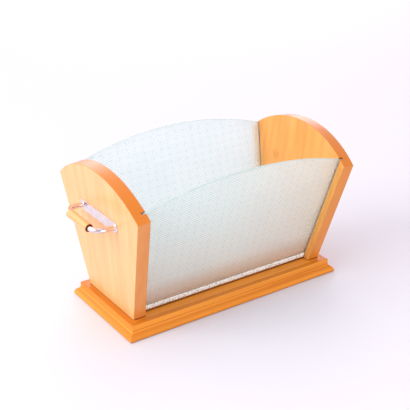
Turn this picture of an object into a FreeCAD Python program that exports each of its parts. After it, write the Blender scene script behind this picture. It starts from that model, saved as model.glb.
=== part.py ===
import FreeCAD, Part
import math
import os

# Magazine rack: two splayed wooden end panels stand on a moulded base and hold two loose panes
# of patterned glass in grooves. Each panel carries a chromed handle with a wooden grip.
# Millimetres. X runs from end to end, Y from front (-) to back (+), Z up from the surface it
# stands on. Everything on the right end (+X) is mirrored to make the left end.

V = FreeCAD.Vector

# base
base_length = 420.0
base_depth = 189.5
base_height = 23.5
moulding_width = 18.0      # of each mitred strip, lip included
lip_reach = 8.8            # how far the lip stands out past the top edge
lip_height = 4.4
band_height = 9.0          # the flat band under the top edge
quirk_step = 0.9           # small ledge under the band
top_edge_radius = 1.5
lip_radius = 1.3

# end panels
panel_thickness = 22.5
panel_margin = 10.9        # from a panel's foot to the base's top edge
panel_foot_width = 142.0
panel_shoulder_width = 247.0
panel_shoulder_height = 190.5   # above the base
crown_rise = 46.0          # of the arch above the shoulders
lean = 0.1                 # outward lean, in millimetres per millimetre of height
panel_edge_radius = 1.0
foot_waste = 2.0           # of the blank below the foot, sawn off level with the base

# glass
glass_thickness = 4.0
glass_inset = 14.0         # from a panel's sloping edge to the pane
glass_rise = 32.5          # of the pane's arched top above its corners
glass_drop = 1.0           # from the arch of the panel down to the pane's corner
groove_gap = 0.3           # between a pane and each wall of its groove
groove_depth = 8.0
groove_end_gap = 1.0
base_groove_depth = 4.0
bead_width = 1.6
bead_height = 11.5

# handles
handle_height = 159.0      # of the handle's axis above the base
handle_spacing = 100.0     # between the two legs
handle_reach = 34.0        # from the panel to the grip's axis
handle_bend = 17.0         # radius of the legs' bend
rod_diameter = 8.6
plate_length = 118.0
plate_width = 18.0
plate_thickness = 1.5
grip_standoff = 1.5        # of bare rod between the bend and the grip
grip_diameter = 14.0
spigot_diameter = 6.0
spigot_length = 14.0
fit_gap = 0.02

# fasteners
handle_screw_diameter = 5.0
handle_screw_grip = 9.0    # length of thread inside a leg
screw_head_diameter = 9.5
screw_head_height = 3.4
screw_slot = 1.2
plug_diameter = 18.0
plug_length = 6.0
pocket_diameter = 12.0
pocket_length = 4.6
base_screw_diameter = 4.5
base_screw_length = 48.0
base_screw_sink = 5.0      # from the underside to the screw's head
base_screw_spacing = 80.0

# sizes that follow from the ones above
half_length = base_length / 2
half_depth = base_depth / 2
foot_x = half_length - lip_reach - panel_margin
half_foot = panel_foot_width / 2
half_shoulder = panel_shoulder_width / 2
splay = (half_shoulder - half_foot) / panel_shoulder_height
lean_angle = math.degrees(math.atan(lean))
splay_angle = math.degrees(math.atan(splay))
lean_stretch = math.hypot(1.0, lean)       # length up a leaning face for each unit of height
splay_stretch = math.hypot(1.0, splay)     # length up a pane for each unit of height
inner_foot_x = foot_x - panel_thickness * lean_stretch
grip_length = handle_spacing - 2 * (handle_bend + grip_standoff)
far = 2 * (base_length + base_depth)


def prism(points, direction):
    wire = Part.makePolygon(points + points[:1])
    return Part.Face(wire).extrude(direction)


def rod(radius, length, start, direction):
    return Part.makeCylinder(radius, length, start, direction)


def mirror_x(shape):
    return shape.mirror(V(0, 0, 0), V(1, 0, 0))


def mirror_y(shape):
    return shape.mirror(V(0, 0, 0), V(0, 1, 0))


def save(name, *solids):
    shape = solids[0] if len(solids) == 1 else Part.makeCompound(list(solids))
    shape.exportStep("parts/" + name + ".step")


def on_right_panel(shape):
    """Moves a shape drawn upright, its outer face at x = 0 and its foot at z = 0, onto the panel."""
    shape = shape.copy()
    shape.rotate(V(0, 0, 0), V(0, 1, 0), lean_angle)
    shape.translate(V(foot_x, 0, base_height))
    return shape


def face_x(height):
    """x of the right panel's outer face at a height above the base."""
    return foot_x + lean * height


# ---- base

def moulding_profile(reach):
    """Section of the moulding in a plane with the outward direction along +X, ready to sweep."""
    inner = reach - moulding_width
    band = reach - lip_reach
    band_foot = base_height - band_height
    ledge = band + quirk_step
    hollow = V(ledge + 2.6, 0, band_foot - 4.3)
    lip_top = V(reach - 0.5, 0, lip_height)
    r = top_edge_radius
    c = lip_radius
    s = math.sqrt(0.5)
    points = {
        "inner_top": V(inner, 0, base_height),
        "top": V(band - r, 0, base_height),
        "top_mid": V(band - r + r * s, 0, base_height - r + r * s),
        "band_top": V(band, 0, base_height - r),
        "band_foot": V(band, 0, band_foot),
        "ledge": V(ledge, 0, band_foot - 0.4),
        "lip_side": V(reach, 0, lip_height - c),
        "lip_foot": V(reach, 0, c),
        "lip_mid": V(reach - c + c * s, 0, c - c * s),
        "bottom": V(reach - c, 0, 0),
        "inner_bottom": V(inner, 0, 0),
    }
    line = lambda a, b: Part.LineSegment(points[a], points[b]).toShape()
    arc = lambda a, m, b: Part.Arc(a, m, b).toShape()
    cove = arc(points["ledge"], V(ledge + 0.8, 0, band_foot - 2.6), hollow)
    swell_mid = (hollow + lip_top) * 0.5 + V(0.55, 0, 0.55)
    swell = arc(hollow, swell_mid, lip_top)
    nose = arc(lip_top, V(reach - 0.12, 0, lip_height - 0.45 * c), points["lip_side"])
    edges = [
        line("inner_top", "top"),
        arc(points["top"], points["top_mid"], points["band_top"]),
        line("band_top", "band_foot"),
        line("band_foot", "ledge"),
        cove, swell, nose,
        line("lip_side", "lip_foot"),
        arc(points["lip_foot"], points["lip_mid"], points["bottom"]),
        line("bottom", "inner_bottom"),
        line("inner_bottom", "inner_top"),
    ]
    return Part.Face(Part.Wire(edges))


def mitred_strip(reach, other_reach):
    """A moulding strip on the +X side, mitred at 45 degrees at both ends."""
    strip = moulding_profile(reach)
    strip.translate(V(0, -other_reach, 0))
    strip = strip.extrude(V(0, 2 * other_reach, 0))
    inner = reach - moulding_width - 1
    inner_y = other_reach - moulding_width - 1
    outer = reach + 1
    outer_y = other_reach + 1
    plan = [V(inner, -inner_y, -1), V(outer, -outer_y, -1), V(outer, outer_y, -1), V(inner, inner_y, -1)]
    return strip.common(prism(plan, V(0, 0, base_height + 2)))


def side_moulding():
    return mitred_strip(half_length, half_depth)


def front_moulding():
    strip = mitred_strip(half_depth, half_length)
    strip.rotate(V(0, 0, 0), V(0, 0, 1), -90)
    return strip


def base_board():
    x = half_length - moulding_width
    y = half_depth - moulding_width
    board = Part.makeBox(2 * x, 2 * y, base_height, V(-x, -y, 0))
    for groove in (glass_groove(), mirror_y(glass_groove())):
        board = board.cut(groove)
    for at in base_screw_places():
        for spot in (at, V(-at.x, at.y, 0)):
            board = board.cut(rod(base_screw_diameter / 2 + fit_gap, base_height, spot, V(0, 0, 1)))
            board = board.cut(rod(screw_head_diameter / 2 + 0.5, base_screw_sink, spot, V(0, 0, 1)))
            board = board.cut(screw_cone(spot + V(0, 0, base_screw_sink), fit_gap))
    return board


# ---- glass, drawn in the plane of the front pane

def pane_point(x, height):
    """A point of the front pane's outer face at a height above the base."""
    y = half_foot + splay * height - glass_inset * splay_stretch
    return V(x, -y, base_height + height)


def arch_radius():
    return (half_shoulder ** 2 + crown_rise ** 2) / (2 * crown_rise)


def arch_meets_pane():
    """Height above the base at which the pane's outer face meets the panels' arch."""
    radius = arch_radius()
    centre = panel_shoulder_height + crown_rise - radius
    start = half_foot - glass_inset * splay_stretch
    a = 1 + splay ** 2
    b = 2 * (start * splay - centre)
    c = start ** 2 + centre ** 2 - radius ** 2
    return (-b + math.sqrt(b * b - 4 * a * c)) / (2 * a)


pane_normal = V(0, 1 / splay_stretch, splay / splay_stretch)
pane_up = V(0, -splay / splay_stretch, 1 / splay_stretch)
corner_height = arch_meets_pane() - glass_drop
pane_foot = groove_gap - base_groove_depth


def half_width_at(height, past):
    """Half the pane's width at a height, reaching a distance past the panels' inner faces."""
    return inner_foot_x + lean * height + past


def front_glass():
    past = groove_depth - groove_end_gap
    low = half_width_at(pane_foot, past)
    high = half_width_at(corner_height, past)
    corners = [pane_point(-low, pane_foot), pane_point(low, pane_foot),
               pane_point(high, corner_height), pane_point(-high, corner_height)]
    edges = [Part.LineSegment(corners[i], corners[i + 1]).toShape() for i in range(2)]
    top = pane_point(0, corner_height) + pane_up * glass_rise
    edges.append(Part.Arc(corners[2], top, corners[3]).toShape())
    edges.append(Part.LineSegment(corners[3], corners[0]).toShape())
    return Part.Face(Part.Wire(edges)).extrude(pane_normal * glass_thickness)


def glass_groove():
    """The space a saw leaves for the front pane, in the base and in both panels."""
    floor = -base_groove_depth
    above = panel_shoulder_height + crown_rise
    low = half_width_at(floor, groove_depth)
    high = half_width_at(above, groove_depth)
    corners = [pane_point(-low, floor), pane_point(low, floor),
               pane_point(high, above), pane_point(-high, above)]
    groove = prism(corners, pane_normal * (glass_thickness + 2 * groove_gap))
    groove.translate(pane_normal * -groove_gap)
    return groove


def front_glass_bead():
    """The flat white bead that leans on the outer foot of the front pane, rounded along its top."""
    outside = pane_normal * -groove_gap
    x = inner_foot_x - groove_gap
    foot = pane_point(-x, 0) + outside
    foot = V(foot.x, foot.y + (foot.z - base_height) * splay, base_height)
    shoulder = bead_height - bead_width
    centre = foot + V(0, -splay * shoulder, shoulder)
    top = foot + V(0, -splay * bead_height, bead_height)
    toe = foot - V(0, bead_width, 0)
    outer = centre - V(0, bead_width, 0)
    mid = centre + V(0, -0.81 * bead_width, 0.62 * bead_width)
    edges = [Part.LineSegment(top, foot).toShape(), Part.LineSegment(foot, toe).toShape(),
             Part.LineSegment(toe, outer).toShape(), Part.Arc(outer, mid, top).toShape()]
    return Part.Face(Part.Wire(edges)).extrude(V(2 * x, 0, 0))


# ---- end panels

def panel_blank():
    """The right panel before any groove or hole: an arched board that leans outward."""
    foot = -panel_thickness * lean - foot_waste
    shoulder = panel_shoulder_height * lean_stretch
    crown = (panel_shoulder_height + crown_rise) * lean_stretch
    narrow = half_foot + splay * foot
    t = -panel_thickness
    a = V(t, -narrow, foot)
    b = V(t, narrow, foot)
    c = V(t, half_shoulder, shoulder)
    d = V(t, -half_shoulder, shoulder)
    outline = [Part.LineSegment(a, b).toShape(), Part.LineSegment(b, c).toShape(),
               Part.Arc(c, V(t, 0, crown), d).toShape(), Part.LineSegment(d, a).toShape()]
    board = Part.Face(Part.Wire(outline)).extrude(V(panel_thickness, 0, 0))
    inside = -2 * panel_thickness
    waste = prism([V(inside, -far / 2, inside * lean), V(panel_thickness, -far / 2, panel_thickness * lean),
                   V(panel_thickness, -far / 2, 2 * foot), V(inside, -far / 2, 2 * foot)], V(0, far, 0))
    board = board.cut(waste)
    rim = []
    for edge in board.Edges:
        box = edge.BoundBox
        if box.XLength < 0.01 and box.ZLength > 1:
            rim.append(edge)
    return on_right_panel(board.makeFillet(panel_edge_radius, rim))


def right_panel():
    panel = panel_blank()
    for groove in (glass_groove(), mirror_y(glass_groove())):
        panel = panel.cut(groove)
    for at in handle_places():
        inner = at - V(panel_thickness * lean_stretch, 0, 0)
        back = V(10, 0, 0)
        panel = panel.cut(rod(plug_diameter / 2, plug_length + 10, inner - back, V(1, 0, 0)))
        pocket = plug_length + pocket_length
        panel = panel.cut(rod(pocket_diameter / 2, pocket, inner, V(1, 0, 0)))
        bore = handle_screw_diameter / 2 + 0.25
        panel = panel.cut(rod(bore, panel_thickness * 2, inner, V(1, 0, 0)))
    for spot in base_screw_places():
        start = spot + V(0, 0, base_height - 1)
        depth = base_screw_sink + base_screw_length - base_height + 2
        panel = panel.cut(rod(base_screw_diameter / 2 + fit_gap, depth, start, V(0, 0, 1)))
    return panel


def base_screw_places():
    x = foot_x - panel_thickness / 2 + 1
    return [V(x, side * base_screw_spacing / 2, 0) for side in (-1, 1)]


def screw_cone(at, extra):
    """The countersunk head of a base screw, drawn with its wide side at the given point."""
    wide = screw_head_diameter / 2 + extra
    narrow = base_screw_diameter / 2 + extra
    return Part.makeCone(wide, narrow, wide - narrow, at, V(0, 0, 1))


def base_screws():
    screws = []
    for spot in base_screw_places():
        at = spot + V(0, 0, base_screw_sink)
        tip = 5.0
        radius = base_screw_diameter / 2
        shank = rod(radius, base_screw_length - tip, at, V(0, 0, 1))
        point = Part.makeCone(radius, 0.4, tip, at + V(0, 0, base_screw_length - tip), V(0, 0, 1))
        slot = Part.makeBox(screw_head_diameter, screw_slot, 1.2,
                            at - V(screw_head_diameter / 2, screw_slot / 2, 0))
        screws.append(screw_cone(at, 0).fuse([shank, point]).removeSplitter().cut(slot))
    return screws


# ---- handles

def handle_places():
    """The points where the two legs' axes meet the right panel's outer face."""
    x = face_x(handle_height)
    z = base_height + handle_height
    return [V(x, side * handle_spacing / 2, z) for side in (-1, 1)]


def right_plate():
    r = plate_width / 2
    straight = plate_length - plate_width
    height = handle_height * lean_stretch
    plate = Part.makeBox(plate_thickness, straight, plate_width, V(0, -straight / 2, height - r))
    for side in (-1, 1):
        end = rod(r, plate_thickness, V(0, side * straight / 2, height), V(1, 0, 0))
        plate = plate.fuse(end)
    plate = plate.removeSplitter()
    rim = [e for e in plate.Edges if abs(e.BoundBox.XMin - plate_thickness) < 0.001
           and abs(e.BoundBox.XMax - plate_thickness) < 0.001]
    plate = on_right_panel(plate.makeFillet(plate_thickness * 0.4, rim))
    for at in handle_places():
        bore = handle_screw_diameter / 2 + 0.25
        plate = plate.cut(rod(bore, 20, at - V(10, 0, 0), V(1, 0, 0)))
    return plate


def handle_leg(side):
    """One leg: straight out of the plate, round the bend, and a spigot into the grip."""
    at = handle_places()[0 if side < 0 else 1]
    inward = V(0, -side, 0)
    start = at - V(rod_diameter, 0, 0)
    bend_start = at + V(handle_reach - handle_bend, 0, 0)
    centre = bend_start + inward * handle_bend
    bend_mid = centre + (V(1, 0, 0) - inward) * (handle_bend * math.sqrt(0.5))
    bend_end = centre + V(handle_bend, 0, 0)
    grip_end = V(bend_end.x, side * grip_length / 2, at.z)
    path = Part.Wire([
        Part.LineSegment(start, bend_start).toShape(),
        Part.Arc(bend_start, bend_mid, bend_end).toShape(),
        Part.LineSegment(bend_end, grip_end).toShape(),
    ])
    section = Part.Wire(Part.makeCircle(rod_diameter / 2, start, V(1, 0, 0)))
    leg = path.makePipeShell([section], True, False)
    leg = leg.cut(plate_side())
    leg = leg.fuse(rod(spigot_diameter / 2, spigot_length, grip_end, inward))
    thread = handle_screw_diameter / 2 + fit_gap
    depth = plate_thickness * lean_stretch + handle_screw_grip + 1
    return leg.cut(rod(thread, depth + rod_diameter, start, V(1, 0, 0)))


def plate_side():
    """Everything on the panel's side of the plate's outer face, near the handle."""
    height = handle_height * lean_stretch
    block = Part.makeBox(60, far, 120, V(plate_thickness - 60, -far / 2, height - 60))
    return on_right_panel(block)


def right_grip():
    at = handle_places()[0]
    start = V(at.x + handle_reach, -grip_length / 2, at.z)
    grip = rod(grip_diameter / 2, grip_length, start, V(0, 1, 0))
    grip = grip.makeFillet(1.0, [e for e in grip.Edges if e.BoundBox.YLength < 0.01])
    for side in (-1, 1):
        mouth = V(start.x, side * grip_length / 2, start.z)
        bore = rod(spigot_diameter / 2 + fit_gap, spigot_length + 1, mouth, V(0, -side, 0))
        grip = grip.cut(bore)
    return grip


def right_handle_screws():
    screws = []
    for at in handle_places():
        inner = at.x - panel_thickness * lean_stretch
        seat = inner + plug_length + pocket_length
        end = at.x + plate_thickness * lean_stretch + handle_screw_grip
        head_start = V(seat - screw_head_height, at.y, at.z)
        head = rod(screw_head_diameter / 2, screw_head_height, head_start, V(1, 0, 0))
        shank = rod(handle_screw_diameter / 2, end - seat, V(seat, at.y, at.z), V(1, 0, 0))
        slot = Part.makeBox(1.4, screw_slot, screw_head_diameter + 1,
                            head_start - V(0, screw_slot / 2, screw_head_diameter / 2 + 0.5))
        screws.append(head.fuse(shank).cut(slot))
    return screws


def right_plugs():
    """Wooden plugs that hide the handle's screws, cut flush with the panel's inner face."""
    blank = panel_blank()
    plugs = []
    for at in handle_places():
        inner = at - V(panel_thickness * lean_stretch, 0, 0)
        plug = rod(plug_diameter / 2 - fit_gap, plug_length + 10, inner - V(10, 0, 0), V(1, 0, 0))
        plugs.append(plug.common(blank))
    return plugs


os.makedirs("parts", exist_ok=True)

save("base_board", base_board())
strip = front_moulding()
save("front_moulding", strip)
save("back_moulding", mirror_y(strip))
save("front_glass", front_glass())
save("back_glass", mirror_y(front_glass()))
save("front_glass_bead", front_glass_bead())
save("back_glass_bead", mirror_y(front_glass_bead()))

right_end = {
    "moulding": [side_moulding()],
    "panel": [right_panel()],
    "panel_screws": base_screws(),
    "handle_plate": [right_plate()],
    "handle_legs": [handle_leg(-1), handle_leg(1)],
    "handle_grip": [right_grip()],
    "handle_screws": right_handle_screws(),
    "screw_plugs": right_plugs(),
}
for name, solids in right_end.items():
    save("right_" + name, *solids)
    save("left_" + name, *[mirror_x(solid) for solid in solids])
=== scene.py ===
import math

import bmesh
import bpy
from mathutils import Matrix, Vector


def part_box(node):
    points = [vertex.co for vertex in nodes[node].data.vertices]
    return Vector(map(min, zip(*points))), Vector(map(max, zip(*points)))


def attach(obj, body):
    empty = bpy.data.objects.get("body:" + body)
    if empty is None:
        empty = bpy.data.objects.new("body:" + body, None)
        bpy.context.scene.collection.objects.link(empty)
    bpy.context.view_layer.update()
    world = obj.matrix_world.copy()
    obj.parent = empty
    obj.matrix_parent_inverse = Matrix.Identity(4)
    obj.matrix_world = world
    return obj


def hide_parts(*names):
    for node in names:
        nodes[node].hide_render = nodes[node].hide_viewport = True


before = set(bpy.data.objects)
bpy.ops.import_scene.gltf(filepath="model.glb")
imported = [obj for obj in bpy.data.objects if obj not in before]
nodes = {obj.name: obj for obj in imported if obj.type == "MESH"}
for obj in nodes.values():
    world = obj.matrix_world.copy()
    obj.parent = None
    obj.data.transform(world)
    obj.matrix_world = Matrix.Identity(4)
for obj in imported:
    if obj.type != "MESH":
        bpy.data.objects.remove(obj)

# Magazine rack in lacquered beech: two arched ends on a moulded base, two loose panes of rolled
# pattern glass between them, and a chrome handle with a turned grip on each end.
# Metres, X from end to end, Y from front to back, Z up. Dictionaries give sizes in millimetres.

scene = bpy.context.scene
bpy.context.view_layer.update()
mm = 0.001
print("frame loaded:", len(nodes), "nodes")


def linearColour(hexCode):
    parts = [int(hexCode[i:i + 2], 16) / 255 for i in (1, 3, 5)]
    return tuple(p / 12.92 if p <= 0.04045 else ((p + 0.055) / 1.055) ** 2.4 for p in parts) + (1.0,)


def addNode(tree, kind, inputs=(), stops=(), **settings):
    node = tree.nodes.new("ShaderNode" + kind)
    for name, value in settings.items():
        setattr(node, name, value)
    for key, value in dict(inputs).items():
        if isinstance(value, bpy.types.NodeSocket):
            tree.links.new(value, node.inputs[key])
        else:
            node.inputs[key].default_value = value
    for index, (position, colour) in enumerate(stops):
        ends = node.color_ramp.elements
        stop = ends[index] if index < len(ends) else ends.new(position)
        stop.position = position
        stop.color = colour
    return node


def newMaterial(name):
    material = bpy.data.materials.new(name)
    material.use_nodes = True
    material.node_tree.nodes.clear()
    return material, material.node_tree


def setSurface(tree, shader):
    addNode(tree, "OutputMaterial", {"Surface": shader})


def grey(value):
    return (value, value, value, 1.0)


# three-quarter view from the front left, a little above
viewpoint = {
    "azimuth": -34.885,
    "elevation": 24.859,
    "roll": 0.535,
    "distance": 1.5942,
    "aim": (0.0030, 0.0129, 0.1416),
    "lens": 82.67,
}


def makeCamera(view):
    azimuth, elevation, roll = (math.radians(view[k]) for k in ("azimuth", "elevation", "roll"))
    back = Vector((math.sin(azimuth) * math.cos(elevation),
                   -math.cos(azimuth) * math.cos(elevation), math.sin(elevation)))
    right = (-back).cross(Vector((0, 0, 1))).normalized()
    up = back.cross(right)
    across = right * math.cos(roll) + up * math.sin(roll)
    upward = up * math.cos(roll) - right * math.sin(roll)
    camera = bpy.data.objects.new("camera", bpy.data.cameras.new("camera"))
    camera.data.lens = view["lens"]
    camera.data.clip_start = 0.05
    camera.data.clip_end = 60
    turn = Matrix((across, upward, back)).transposed().to_4x4()
    camera.matrix_world = Matrix.Translation(Vector(view["aim"]) + back * view["distance"]) @ turn
    scene.collection.objects.link(camera)
    scene.camera = camera


# name: (place, size, watts, colour); each one faces the rack
softboxes = {
    "windowSide": ((-2.4, 0.3, 1.5), 2.4, 62, "#FFFAF4"),
    "frontFill": ((-0.1, -2.7, 0.45), 2.2, 43, "#FFF8FC"),
    "behind": ((1.55, 2.2, 1.3), 2.2, 20, "#F4F0FF"),
}
# the room is brightest behind the rack and falls off towards the front
studio = {
    "brightest": (0.0, 0.9, 0.35),
    "walls": ((0.0, "#4A4448"), (0.15, "#8E868C"), (0.45, "#C0B8BF"),
              (0.75, "#DCD8E0"), (1.0, "#FFFFFF")),
    "strength": 1.66,
}


def makeLights():
    target = Vector((0, 0, 0.12))
    for name, (place, size, watts, colour) in softboxes.items():
        lamp = bpy.data.lights.new(name, "AREA")
        lamp.shape = "DISK"
        lamp.size = size
        lamp.energy = watts
        lamp.color = linearColour(colour)[:3]
        light = bpy.data.objects.new(name, lamp)
        light.location = place
        light.rotation_euler = (target - Vector(place)).to_track_quat("-Z", "Y").to_euler()
        scene.collection.objects.link(light)
    world = bpy.data.worlds.new("studio")
    world.use_nodes = True
    world.node_tree.nodes.clear()
    place = addNode(world.node_tree, "TexCoord")
    brightest = Vector(studio["brightest"]).normalized()
    towards = addNode(world.node_tree, "VectorMath", {
        0: place.outputs["Generated"], 1: brightest}, operation="DOT_PRODUCT")
    share = addNode(world.node_tree, "MapRange", {"Value": towards.outputs["Value"], "From Min": -1.0})
    wallTone = addNode(world.node_tree, "ValToRGB", {"Fac": share.outputs["Result"]}, stops=[
        (position, linearColour(tone)) for position, tone in studio["walls"]])
    walls = addNode(world.node_tree, "Background", {
        "Color": wallTone.outputs["Color"], "Strength": studio["strength"]})
    addNode(world.node_tree, "OutputWorld", {"Surface": walls.outputs["Background"]})
    scene.world = world
    scene.view_settings.view_transform = "Standard"


floorLook = {"halfWidth": 9000, "drop": 0.2, "tone": "#D6D5DB", "shade": "#D2D1D7", "fibre": 1.2}


def paperSweep():
    # matt pale grey backdrop paper: no gloss, and a very faint fibre
    material, tree = newMaterial("paperSweep")
    place = addNode(tree, "TexCoord")
    fibre = addNode(tree, "TexNoise", {
        "Vector": place.outputs["Object"], "Scale": 1 / (floorLook["fibre"] * mm), "Detail": 2.0})
    tone = addNode(tree, "ValToRGB", {"Fac": fibre.outputs["Fac"]}, stops=(
        (0.3, linearColour(floorLook["shade"])), (0.7, linearColour(floorLook["tone"]))))
    shader = addNode(tree, "BsdfPrincipled", {"Base Color": tone.outputs["Color"], "Roughness": 0.9})
    setSurface(tree, shader.outputs["BSDF"])
    return material


def makeFloor():
    half = floorLook["halfWidth"] * mm
    mesh = bpy.data.meshes.new("floor")
    corners = [(-half, -half, 0), (half, -half, 0), (half, half, 0), (-half, half, 0)]
    mesh.from_pydata(corners, [], [(0, 1, 2, 3)])
    mesh.materials.append(paperSweep())
    floor = bpy.data.objects.new("floor", mesh)
    floor.location.z = -floorLook["drop"] * mm
    scene.collection.objects.link(floor)


makeCamera(viewpoint)
makeLights()
makeFloor()
print("camera, lights and floor made")


# Beech, planed, sanded and brushed with amber lacquer: warm orange tones, faint straight grain
# with short dark flecks, deeper colour where end grain drank the lacquer and painted shade on other
# faces turned the same ways, painted shade in the inside corners, and a soft clear shine.
beech = {
    "pale": "#E9A755",
    "middle": "#E39E4F",
    "dark": "#DB9241",
    "streaks": 0.5,         # how far the growth lines show
    "sawnAndShadeTone": "#CC730E",  # partly end grain that drank more lacquer, partly painted shade on faces turned that way
    "cornerShadeTone": "#7E400C",  # painted shade in the inside corners
    "cornerReach": 3.5,
    "bandWidth": 13,        # between broad tone changes across the grain
    "ringWidth": 2.6,       # between fine growth lines
    "fleckWidth": 0.8,      # real flecks are about 0.4 wide, drawn coarser so that they show
    "bandStretch": 0.03,    # how much slower each pattern changes along the grain
    "ringStretch": 0.02,
    "fleckStretch": 0.2,
    "fleckFrom": 0.66,      # noise values between which a fleck darkens
    "fleckTo": 0.76,
    "fleckDepth": 0.45,     # how far towards the dark tone
    "sawnAndShadeFrom": 0.35,       # how squarely a face must meet the direction that deepens
    "openCorner": 0.8,      # share of open sky at which a corner starts to darken
    "tightCorner": 0.45,
    "cornerShadeDepth": 0.8,
    "grainBump": 0.12,
    "grainDepth": 0.2,
    "roughness": 0.38,
    "shine": 0.2,
    "lacquer": 0.5,
    "lacquerRoughness": 0.2,
}
# the base was cut from darker boards
baseBeech = dict(beech, pale="#EF9D3A", middle="#E48F2C", dark="#CC7A1E", sawnAndShadeTone="#BF6A12", streaks=1.0,
                 lacquer=0.05, lacquerRoughness=0.25)
# the left end is painted paler and quieter: painted light, for the bright light on its outer face
paleLitBeech = dict(beech, pale="#E9B67C", middle="#E3AB70", dark="#DFA467", streaks=0.2)
plugBeech = dict(beech, pale="#E09C49", middle="#D99041", dark="#C87F32")
grainTurn = {"X": (0, math.pi / 2, 0), "Y": (math.pi / 2, 0, 0), "Z": (0, 0, 0)}


def lacqueredBeech(name, grain, sawnAndShadeFacing, shift, look):
    material, tree = newMaterial(name)
    place = addNode(tree, "TexCoord")
    turned = addNode(tree, "Mapping", {
        "Vector": place.outputs["Object"], "Location": shift, "Rotation": grainTurn[grain]})
    noises = []
    for kind, detail in (("band", 2.0), ("ring", 3.0), ("fleck", 1.0)):
        stretched = addNode(tree, "Mapping", {
            "Vector": turned.outputs["Vector"], "Scale": (1, 1, look[kind + "Stretch"])})
        fineness = 1 / (look[kind + "Width"] * mm)
        noises.append(addNode(tree, "TexNoise", {
            "Vector": stretched.outputs["Vector"], "Scale": fineness, "Detail": detail}))
    bands, rings, flecks = noises
    tone = addNode(tree, "ValToRGB", {"Fac": bands.outputs["Fac"]}, stops=(
        (0.3, linearColour(look["dark"])), (0.75, linearColour(look["pale"])),
        (0.5, linearColour(look["middle"]))))
    ringTone = addNode(tree, "ValToRGB", {"Fac": rings.outputs["Fac"]}, stops=(
        (0.35, grey(0.91)), (0.6, grey(1.0))))
    ringed = addNode(tree, "Mix", {
        0: look["streaks"], 6: tone.outputs["Color"], 7: ringTone.outputs["Color"]},
        data_type="RGBA", blend_type="MULTIPLY")
    fleckShare = addNode(tree, "MapRange", {
        "Value": flecks.outputs["Fac"],
        "From Min": look["fleckFrom"], "From Max": look["fleckTo"], "To Max": look["fleckDepth"]})
    flecked = addNode(tree, "Mix", {
        0: fleckShare.outputs["Result"], 6: ringed.outputs[2], 7: linearColour(look["dark"])},
        data_type="RGBA")
    # deeper colour on faces turned the given ways: partly end grain, partly painted shade
    facingWeighted = addNode(tree, "VectorMath", {0: place.outputs["Normal"], 1: sawnAndShadeFacing}, operation="MULTIPLY")
    facingSize = addNode(tree, "VectorMath", {0: facingWeighted.outputs["Vector"]}, operation="LENGTH")
    sawnAndShadeShare = addNode(tree, "MapRange", {
        "Value": facingSize.outputs["Value"], "From Min": look["sawnAndShadeFrom"], "From Max": 1.0})
    colour = addNode(tree, "Mix", {
        0: sawnAndShadeShare.outputs["Result"], 6: flecked.outputs[2], 7: linearColour(look["sawnAndShadeTone"])},
        data_type="RGBA")
    # painted shade: darker wherever a point sees little open sky, as in inside corners and creases
    corner = addNode(tree, "AmbientOcclusion", {"Distance": look["cornerReach"] * mm}, samples=8)
    cornerShadeShare = addNode(tree, "MapRange", {
        "Value": corner.outputs["AO"], "From Min": look["tightCorner"], "From Max": look["openCorner"],
        "To Min": look["cornerShadeDepth"], "To Max": 0.0})
    colour = addNode(tree, "Mix", {
        0: cornerShadeShare.outputs["Result"], 6: colour.outputs[2], 7: linearColour(look["cornerShadeTone"])},
        data_type="RGBA")
    brushed = addNode(tree, "MapRange", {
        "Value": bands.outputs["Fac"],
        "To Min": look["roughness"] - 0.05, "To Max": look["roughness"] + 0.06})
    height = addNode(tree, "Math", {
        0: rings.outputs["Fac"], 1: fleckShare.outputs["Result"]}, operation="SUBTRACT")
    bump = addNode(tree, "Bump", {
        "Height": height.outputs["Value"],
        "Strength": look["grainBump"], "Distance": look["grainDepth"] * mm})
    shader = addNode(tree, "BsdfPrincipled", {
        "Base Color": colour.outputs[2], "Roughness": brushed.outputs["Result"], "IOR": 1.5,
        "Specular IOR Level": look["shine"],
        "Coat Weight": look["lacquer"], "Coat Roughness": look["lacquerRoughness"],
        "Normal": bump.outputs["Normal"]})
    setSurface(tree, shader.outputs["BSDF"])
    return material


# node: (which way the grain runs, how far faces turned each way deepen by end grain and painted
# shade, where in the plank it was cut, which board)
woodenNodes = {
    "base_board": ("X", (1, 1, 0), (0.31, 0.12, 0.05), baseBeech),
    "front_moulding": ("X", (1, 0, 0.85), (0.74, 0.55, 0.2), baseBeech),
    "back_moulding": ("X", (1, 0, 0.85), (0.15, 0.93, 0.6), baseBeech),
    "left_moulding": ("Y", (0, 1, 0.85), (0.42, 0.37, 0.9), baseBeech),
    "right_moulding": ("Y", (0, 1, 0.85), (0.88, 0.71, 0.4), baseBeech),
    "left_panel": ("Z", (0, 0.75, 1.1), (0.26, 0.18, 0.7), paleLitBeech),
    "right_panel": ("Z", (0, 0.75, 1.1), (0.61, 0.43, 0.3), beech),
    "left_screw_plugs": ("Y", (0, 1, 1), (0.05, 0.66, 0.5), plugBeech),
    "right_screw_plugs": ("Y", (0, 1, 1), (0.93, 0.27, 0.8), plugBeech),
}


def finishNode(name, material):
    slots = nodes[name].data.materials
    for index in range(len(slots)):
        slots[index] = material


for name, (grain, sawnAndShadeFacing, shift, look) in woodenNodes.items():
    finishNode(name, lacqueredBeech("lacqueredBeech_" + name, grain, sawnAndShadeFacing, shift, look))
print("wood finished")


# Steel bar and plate, polished and chrome plated: mirror bright with a faint rosy tone and smears
chrome = {"tone": "#EBDFDF", "smear": "#DACDCE", "roughness": 0.05, "smearSize": 6}


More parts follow.
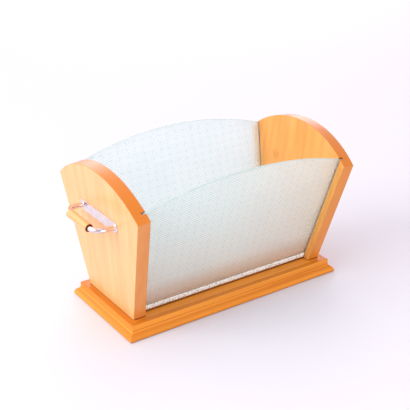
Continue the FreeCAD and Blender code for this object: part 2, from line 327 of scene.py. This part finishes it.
def chromePlatedSteel(name, look):
    material, tree = newMaterial(name)
    place = addNode(tree, "TexCoord")
    smears = addNode(tree, "TexNoise", {
        "Vector": place.outputs["Object"], "Scale": 1 / (look["smearSize"] * mm), "Detail": 3.0})
    tone = addNode(tree, "ValToRGB", {"Fac": smears.outputs["Fac"]}, stops=(
        (0.35, linearColour(look["smear"])), (0.65, linearColour(look["tone"]))))
    polish = addNode(tree, "MapRange", {
        "Value": smears.outputs["Fac"],
        "To Min": look["roughness"] - 0.03, "To Max": look["roughness"] + 0.05})
    shader = addNode(tree, "BsdfPrincipled", {
        "Base Color": tone.outputs["Color"], "Metallic": 1.0, "Roughness": polish.outputs["Result"]})
    setSurface(tree, shader.outputs["BSDF"])
    return material


# Bright steel screws, rolled threads and slotted heads: satin grey with fine turning marks
screwSteel = {"tone": "#B9BABD", "mark": "#9A9B9F", "roughness": 0.36, "markWidth": 0.5}


def brightSteel(name, look):
    material, tree = newMaterial(name)
    place = addNode(tree, "TexCoord")
    marks = addNode(tree, "TexNoise", {
        "Vector": place.outputs["Object"], "Scale": 1 / (look["markWidth"] * mm), "Detail": 2.0})
    tone = addNode(tree, "ValToRGB", {"Fac": marks.outputs["Fac"]}, stops=(
        (0.3, linearColour(look["mark"])), (0.7, linearColour(look["tone"]))))
    bump = addNode(tree, "Bump", {
        "Height": marks.outputs["Fac"], "Strength": 0.2, "Distance": 0.05 * mm})
    shader = addNode(tree, "BsdfPrincipled", {
        "Base Color": tone.outputs["Color"], "Metallic": 1.0, "Roughness": look["roughness"],
        "Normal": bump.outputs["Normal"]})
    setSurface(tree, shader.outputs["BSDF"])
    return material


platedChrome = chromePlatedSteel("chromePlatedSteel", chrome)
screwMetal = brightSteel("brightScrewSteel", screwSteel)
for side in ("left", "right"):
    finishNode(side + "_handle_plate", platedChrome)
    finishNode(side + "_handle_screws", screwMetal)
    finishNode(side + "_panel_screws", screwMetal)
print("metal finished")


def newPiece(name, shape, materials, body, slot, *replaced):
    mesh = bpy.data.meshes.new(name)
    shape.normal_update()
    shape.to_mesh(mesh)
    shape.free()
    for material in materials:
        mesh.materials.append(material)
    piece = bpy.data.objects.new(name, mesh)
    scene.collection.objects.link(piece)
    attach(piece, body)
    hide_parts(*replaced)
    return piece


# Soda-lime sheet, rolled hot against an engraved roller: small four-sided diamonds in groups of
# three by three, with one tall and one flat diamond in each group. It breaks up what is behind it.
glassLook = {
    "tint": "#F1FBFC",
    "edgeTint": "#B2CCC7",
    "edgeGlint": "#D0DFDC",
    "ior": 1.52,
    "clearness": 0.76,      # the rest of the light is scattered by the relief, as if by white glass
    "roughness": 0.33,
    "edgeRoughness": 0.4,
    "groupWidth": 16.5,
    "groupHeight": 12.4,
    "groupSteps": 6,        # lattice steps to a group, each way
    "depth": 0.6,           # from a usual peak to the valleys
    "tallest": 0.8,
    "flattest": 0.3,
    "plain": 0.75,          # tint of the smooth side, between valley 0 and peak 1
    "valleyShadeTint": "#9BC3BF",  # painted shade in the valleys where the sheet is folded
    "peakHighlightTint": "#FDFFFF",
    "warmTint": "#D9A878",  # painted near the foot, a stand-in for the board's colour showing there
    "warmth": 0.5,
    "warmFrom": 32,         # heights above the ground
    "warmTo": 75,
    "shadeTint": "#D3E4E1",  # what is left of lamp light behind the sheet
    "seam": 0.5,            # ground off each edge
    "cloudWidth": 14,       # between slight changes in gloss
    "gritWidth": 1.5,       # real grit is finer, drawn coarser so that it shows
    "edgeClearness": 0.4,
    "arcSteps": 48,         # cuts that round the top
}


def rolledPatternGlass(name, look):
    material, tree = newMaterial(name)
    place = addNode(tree, "TexCoord")
    clouds = addNode(tree, "TexNoise", {
        "Vector": place.outputs["Object"], "Scale": 1 / (look["cloudWidth"] * mm), "Detail": 2.0})
    relief = addNode(tree, "Attribute", attribute_name="relief")
    # painted shade in the valleys and painted highlight on the peaks, following the relief
    tint = addNode(tree, "ValToRGB", {"Fac": relief.outputs["Fac"]}, stops=(
        (0.0, linearColour(look["valleyShadeTint"])), (0.6, linearColour(look["peakHighlightTint"])),
        (0.22, linearColour(look["tint"]))))
    # this warmth belongs to the light, not to the glass: it wrongly stays on a pane that is lifted
    across = addNode(tree, "SeparateXYZ", {"Vector": place.outputs["Object"]})
    footShare = addNode(tree, "MapRange", {
        "Value": across.outputs["Z"], "From Min": look["warmFrom"] * mm, "From Max": look["warmTo"] * mm,
        "To Min": look["warmth"], "To Max": 0.0})
    colour = addNode(tree, "Mix", {
        0: footShare.outputs["Result"], 6: tint.outputs["Color"], 7: linearColour(look["warmTint"])},
        data_type="RGBA")
    skin = addNode(tree, "MapRange", {
        "Value": clouds.outputs["Fac"],
        "To Min": look["roughness"] - 0.02, "To Max": look["roughness"] + 0.03})
    glass = addNode(tree, "BsdfPrincipled", {
        "Base Color": colour.outputs[2], "Roughness": skin.outputs["Result"],
        "IOR": look["ior"], "Transmission Weight": look["clearness"]})
    # lamps shine through, as they do through thin glass
    path = addNode(tree, "LightPath")
    clear = addNode(tree, "BsdfTransparent", {"Color": linearColour(look["shadeTint"])})
    shader = addNode(tree, "MixShader", {
        0: path.outputs["Is Shadow Ray"], 1: glass.outputs["BSDF"], 2: clear.outputs["BSDF"]})
    setSurface(tree, shader.outputs["Shader"])
    return material


def groundGlassEdge(name, look):
    # sawn and stone-ground edge: matt, and green because light comes to it along the sheet
    material, tree = newMaterial(name)
    place = addNode(tree, "TexCoord")
    grit = addNode(tree, "TexNoise", {
        "Vector": place.outputs["Object"], "Scale": 1 / (look["gritWidth"] * mm), "Detail": 2.0})
    tone = addNode(tree, "ValToRGB", {"Fac": grit.outputs["Fac"]}, stops=(
        (0.3, linearColour(look["edgeTint"])), (0.75, linearColour(look["edgeGlint"]))))
    shader = addNode(tree, "BsdfPrincipled", {
        "Base Color": tone.outputs["Color"], "Roughness": look["edgeRoughness"],
        "IOR": look["ior"], "Transmission Weight": look["edgeClearness"]})
    setSurface(tree, shader.outputs["BSDF"])
    return material


def paneFrame(node):
    # the pane's own directions and outline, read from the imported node
    mesh = nodes[node].data
    widest = max(mesh.polygons, key=lambda face: face.area)
    outward = widest.normal.copy()
    # both panes have their patterned side to the front
    if outward.y > 0:
        outward.negate()
    across = Vector((1, 0, 0))
    up = outward.cross(across).normalized()
    if up.z < 0:
        up.negate()
    points = [v.co for v in mesh.vertices]
    level = max(p.dot(outward) for p in points)
    foot = min(p.dot(up) for p in points)
    widestX = max(p.x for p in points)
    near = 0.5 * mm
    lowX = max(p.x for p in points if p.dot(up) < foot + near)
    corner = max(p.dot(up) for p in points if p.x > widestX - near)
    crown = max(p.dot(up) for p in points)
    thickness = level - min(p.dot(outward) for p in points)
    return {"outward": outward, "up": up, "level": level, "foot": foot, "lowX": lowX,
            "highX": widestX, "corner": corner, "crown": crown, "thickness": thickness}


def peakShare(i, j, look):
    steps = look["groupSteps"]
    place = (i % steps, j % steps)
    if place == (0, 0):
        return look["tallest"]
    if place == (steps // 2, steps // 2):
        return look["flattest"]
    return look["depth"]


def makePane(name, node, body, materials, look):
    f = paneFrame(node)
    seam = look["seam"] * mm
    stepX = look["groupWidth"] / look["groupSteps"] * mm
    stepV = look["groupHeight"] / look["groupSteps"] * mm
    deepest = look["tallest"] * mm

    def at(x, v, w):
        return Vector((x, 0, 0)) + f["up"] * v + f["outward"] * (f["level"] + w)

    shape = bmesh.new()
    relief = shape.verts.layers.float.new("relief")
    columns = math.ceil(f["highX"] / stepX) + 1
    rows = math.ceil((f["crown"] - f["foot"]) / stepV) + 2
    grid = {}
    for i in range(-columns, columns + 1):
        for j in range(-1, rows):
            lift = peakShare(i, j, look) * mm if (i + j) % 2 == 0 else 0.0
            grid[i, j] = shape.verts.new(at(i * stepX, f["foot"] + j * stepV, lift - deepest))
            grid[i, j][relief] = lift / deepest
    for i in range(-columns, columns):
        for j in range(-1, rows - 1):
            a, b, c, d = grid[i, j], grid[i + 1, j], grid[i + 1, j + 1], grid[i, j + 1]
            # the fold runs along the valley, between the two low corners
            if (i + j) % 2 == 0:
                shape.faces.new((a, b, d))
                shape.faces.new((b, c, d))
            else:
                shape.faces.new((a, b, c))
                shape.faces.new((a, c, d))

    # outline, drawn inside the ground seam
    rise = f["crown"] - f["corner"]
    radius = (f["highX"] ** 2 + rise ** 2) / (2 * rise)
    sweep = math.asin(f["highX"] / radius)
    outline = [(f["lowX"], f["foot"]), (f["highX"], f["corner"])]
    for k in range(1, look["arcSteps"]):
        angle = sweep * (1 - 2 * k / look["arcSteps"])
        outline.append((radius * math.sin(angle), f["crown"] - radius + radius * math.cos(angle)))
    outline += [(-f["highX"], f["corner"]), (-f["lowX"], f["foot"])]
    middle = (f["foot"] + f["crown"]) / 2
    for (x0, v0), (x1, v1) in zip(outline, outline[1:] + outline[:1]):
        along = Vector((x1 - x0, v1 - v0)).normalized()
        normal = Vector((along.y, -along.x))
        cut = at(x0 - normal.x * seam, v0 - normal.y * seam, 0)
        direction = Vector((normal.x, 0, 0)) + f["up"] * normal.y
        everything = shape.verts[:] + shape.edges[:] + shape.faces[:]
        bmesh.ops.bisect_plane(shape, geom=everything, plane_co=cut, plane_no=direction,
                               clear_outer=True, dist=1e-7)

    # ground edge: out to the full outline, down the side, and in again to the smooth face
    halfX, halfV = f["highX"], (f["crown"] - f["foot"]) / 2
    rings = (
        (1 + seam / halfX, 1 + seam / halfV, -deepest - seam),
        (1, 1, -f["thickness"] + seam),
        (1 - seam / halfX, 1 - seam / halfV, -f["thickness"]),
    )
    edges = [e for e in shape.edges if e.is_boundary]
    for growX, growV, depth in rings:
        grown = bmesh.ops.extrude_edge_only(shape, edges=edges)["geom"]
        for v in (g for g in grown if isinstance(g, bmesh.types.BMVert)):
            x = v.co.x * growX
            height = middle + (v.co.dot(f["up"]) - middle) * growV
            v.co = at(x, height, depth)
            v[relief] = look["plain"]
        for face in (g for g in grown if isinstance(g, bmesh.types.BMFace)):
            face.material_index = 1
        edges = [g for g in grown if isinstance(g, bmesh.types.BMEdge) and g.is_boundary]
    smoothFace = bmesh.ops.contextual_create(shape, geom=edges)["faces"][0]
    smoothFace.material_index = 0
    bmesh.ops.recalc_face_normals(shape, faces=shape.faces[:])
    return newPiece(name, shape, materials, body, "patterned_glass", node)


paneGlass = rolledPatternGlass("rolledPatternGlass", glassLook)
paneEdge = groundGlassEdge("groundGlassEdge", glassLook)
for side in ("front", "back"):
    makePane(side + "Pane", side + "_glass", side + "_pane", (paneGlass, paneEdge), glassLook)
print("panes made")


# Linseed putty leaning on the outer foot of each pane, painted white: pressed in with a thumb in
# small even lumps, barely shiny, and brown along its bottom where it meets the board
putty = {
    "tone": "#F6FFFC",
    "shade": "#BCC4BC",
    "footBrownTone": "#A66C38",
    "brownReach": 4.0,          # how high the brown reaches
    "fade": 1.6,
    "roughness": 0.45,
    "lump": 5.5,            # from one lump to the next, the width of one diamond of the glass
    "wave": 0.6,            # how much thinner it is between lumps
    "lumpSteps": 6,
    "topSteps": 5,          # faces that round the top
    "lean": 0.2756,         # of the pane it lies against
}


def glazingPutty(name, boardTop, look):
    material, tree = newMaterial(name)
    place = addNode(tree, "TexCoord")
    lumps = addNode(tree, "TexNoise", {
        "Vector": place.outputs["Object"], "Scale": 1 / (look["lump"] / 2 * mm), "Detail": 3.0})
    tone = addNode(tree, "ValToRGB", {"Fac": lumps.outputs["Fac"]}, stops=(
        (0.4, linearColour(look["shade"])), (0.52, linearColour(look["tone"]))))
    # brown along the bottom few millimetres of the bead
    across = addNode(tree, "SeparateXYZ", {"Vector": place.outputs["Object"]})
    brownReach = boardTop + look["brownReach"] * mm
    footBrownShare = addNode(tree, "MapRange", {
        "Value": across.outputs["Z"], "From Min": brownReach - look["fade"] * mm, "From Max": brownReach,
        "To Min": 1.0, "To Max": 0.0})
    colour = addNode(tree, "Mix", {
        0: footBrownShare.outputs["Result"], 6: tone.outputs["Color"], 7: linearColour(look["footBrownTone"])},
        data_type="RGBA")
    bump = addNode(tree, "Bump", {"Height": lumps.outputs["Fac"], "Strength": 0.3, "Distance": 0.2 * mm})
    shader = addNode(tree, "BsdfPrincipled", {
        "Base Color": colour.outputs[2], "Roughness": look["roughness"],
        "Normal": bump.outputs["Normal"]})
    setSurface(tree, shader.outputs["BSDF"])
    return material


def makeBead(name, node, material, look):
    low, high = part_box(node)
    out = -1 if low.y < 0 else 1
    footY = high.y if out < 0 else low.y
    tall = high.z - low.z
    lean = look["lean"]
    width = (high.y - low.y - lean * tall) / (1 - lean)
    count = round((high.x - low.x) / (look["lump"] * mm) * look["lumpSteps"])
    shape = bmesh.new()
    loops = []
    for i in range(count + 1):
        x = low.x + (high.x - low.x) * i / count
        between = 0.5 - 0.5 * math.cos(2 * math.pi * i / look["lumpSteps"])
        thick = width * (1 - look["wave"] * between ** 2)
        # up the outer face, then round the top to the glass
        outline = [(0.0, 0.0), (thick, 0.0), (thick, (tall - thick) / 2)]
        for k in range(look["topSteps"] + 1):
            angle = math.pi / 2 * k / look["topSteps"]
            outline.append((thick * math.cos(angle), tall - thick + thick * math.sin(angle)))
        loops.append([shape.verts.new((x, footY + out * (depth + lean * rise), low.z + rise))
                      for depth, rise in outline])
    for a, b in zip(loops, loops[1:]):
        for k in range(len(a)):
            following = (k + 1) % len(a)
            face = shape.faces.new((a[k], a[following], b[following], b[k]))
            face.smooth = 0 < k < len(a) - 1
    shape.faces.new(loops[0])
    shape.faces.new(reversed(loops[-1]))
    bmesh.ops.recalc_face_normals(shape, faces=shape.faces[:])
    return newPiece(name, shape, (material,), "rack", "glazing_putty", node)


beadPutty = glazingPutty("paintedGlazingPutty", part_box("front_glass_bead")[0].z, putty)
for side in ("front", "back"):
    makeBead(side + "GlazingBead", side + "_glass_bead", beadPutty, putty)
print("glazing beads made")


handle = {
    "bend": 17,             # radius of each leg's bend, to the middle of the bar
    "collar": 1.2,          # weld fillet where a leg meets the plate
    "collarFoot": 0.8,      # from the middle of the plate to the start of the fillet
    "cupDepth": 2.0,        # hollow in each end of the grip
    "cupRadius": 5.4,
    "cupRound": 0.3,        # rounding at the bottom of the hollow
    "cupLip": 0.2,          # from the mouth of the hollow to the end of the grip
    "bore": 3.2,            # radius of the hole that takes a leg
    "rim": 1.0,             # rounding of the grip's ends
    "around": 40,           # faces round the bar and the grip
    "turnSteps": 14,        # faces along each bend
    "roundSteps": 4,        # faces along each fillet and rounding
}


def ringPoints(shape, centre, sideways, upward, size, look):
    ring = []
    for n in range(look["around"]):
        turn = 2 * math.pi * n / look["around"]
        ray = sideways * math.cos(turn) + upward * math.sin(turn)
        ring.append(shape.verts.new(centre + ray * size))
    return ring


def ringFaces(shape, rings):
    for a, b in zip(rings, rings[1:]):
        for k in range(len(a)):
            following = (k + 1) % len(a)
            face = shape.faces.new((a[k], a[following], b[following], b[k]))
            face.smooth = True


def makeLegs(side, material, look):
    low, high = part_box(side + "_handle_legs")
    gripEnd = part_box(side + "_handle_grip")[1].y
    plateLow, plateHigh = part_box(side + "_handle_plate")
    out = 1 if side == "right" else -1
    radius = (high.z - low.z) / 2
    axisZ = (high.z + low.z) / 2
    axisX = (high.x if out > 0 else low.x) - out * radius
    plateX = (plateLow.x + plateHigh.x) / 2
    legY = high.y - radius
    bend = look["bend"] * mm
    collar = look["collar"] * mm
    shape = bmesh.new()
    for hand in (-1, 1):
        # (place, direction, radius) of each ring along the bar
        stations = [(Vector((plateX, hand * legY, axisZ)), Vector((out, 0, 0)), radius + collar)]
        for k in range(look["roundSteps"] + 1):
            angle = math.pi / 2 * k / look["roundSteps"]
            at = plateX + out * (look["collarFoot"] * mm + collar * math.sin(angle))
            stations.append((Vector((at, hand * legY, axisZ)), Vector((out, 0, 0)),
                             radius + collar * (1 - math.sin(angle)) ** 1.5))
        centre = Vector((axisX - out * bend, hand * (legY - bend), axisZ))
        for k in range(look["turnSteps"] + 1):
            angle = math.pi / 2 * k / look["turnSteps"]
            ray = Vector((out * math.sin(angle), hand * math.cos(angle), 0))
            course = Vector((out * math.cos(angle), -hand * math.sin(angle), 0))
            stations.append((centre + ray * bend, course, radius))
        inside = gripEnd - look["cupDepth"] * mm
        stations.append((Vector((axisX, hand * inside, axisZ)), Vector((0, -hand, 0)), radius))
        rings = []
        upward = Vector((0, 0, 1))
        for place, course, size in stations:
            sideways = course.cross(upward).normalized()
            rings.append(ringPoints(shape, place, sideways, upward, size, look))
        ringFaces(shape, rings)
        shape.faces.new(rings[0])
        shape.faces.new(reversed(rings[-1]))
    bmesh.ops.recalc_face_normals(shape, faces=shape.faces[:])
    return newPiece(side + "HandleLegs", shape, (material,), "rack", "handle_chrome",
                    side + "_handle_legs")


def makeGrip(side, material, look):
    low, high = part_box(side + "_handle_grip")
    centre = (low + high) / 2
    radius = (high.z - low.z) / 2
    half = (high.y - low.y) / 2
    rim = look["rim"] * mm
    cup = look["cupRadius"] * mm
    cupRound = look["cupRound"] * mm
    cupFloor = half - look["cupDepth"] * mm
    halfLine = [(cupFloor, look["bore"] * mm), (cupFloor, cup - cupRound),
                (cupFloor + cupRound, cup), (half - look["cupLip"] * mm, cup)]
    for k in range(look["roundSteps"] + 1):
        angle = math.pi / 2 * k / look["roundSteps"]
        halfLine.append((half - rim + rim * math.cos(angle), radius - rim + rim * math.sin(angle)))
    # straight between its rounded ends
    for share in (0.75, 0.5, 0.25, 0.0):
        halfLine.append((half * share, radius))
    line = [(-y, r) for y, r in halfLine] + [(y, r) for y, r in reversed(halfLine[:-1])]
    shape = bmesh.new()
    rings = []
    sideways = Vector((1, 0, 0))
    upward = Vector((0, 0, 1))
    for y, size in line:
        rings.append(ringPoints(shape, centre + Vector((0, y, 0)), sideways, upward, size, look))
    ringFaces(shape, rings + rings[:1])
    bmesh.ops.recalc_face_normals(shape, faces=shape.faces[:])
    return newPiece(side + "HandleGrip", shape, (material,), "rack", "grip_wood", side + "_handle_grip")


# the grips were turned from paler stock and left a little yellower; their ends are much darker, end grain
# with painted shade
gripBeech = dict(beech, pale="#F0B478", middle="#E9A765", dark="#D6914C", sawnAndShadeTone="#8A4C1C",
                 bandWidth=6, ringWidth=1.6, lacquer=0.8)
for side, shift in (("left", (0.2, 0.5, 0.1)), ("right", (0.7, 0.1, 0.6))):
    makeLegs(side, platedChrome, handle)
    turnedBeech = lacqueredBeech("lacqueredBeech_" + side + "_grip", "Y", (0, 1, 0), shift, gripBeech)
    makeGrip(side, turnedBeech, handle)
print("handles made")
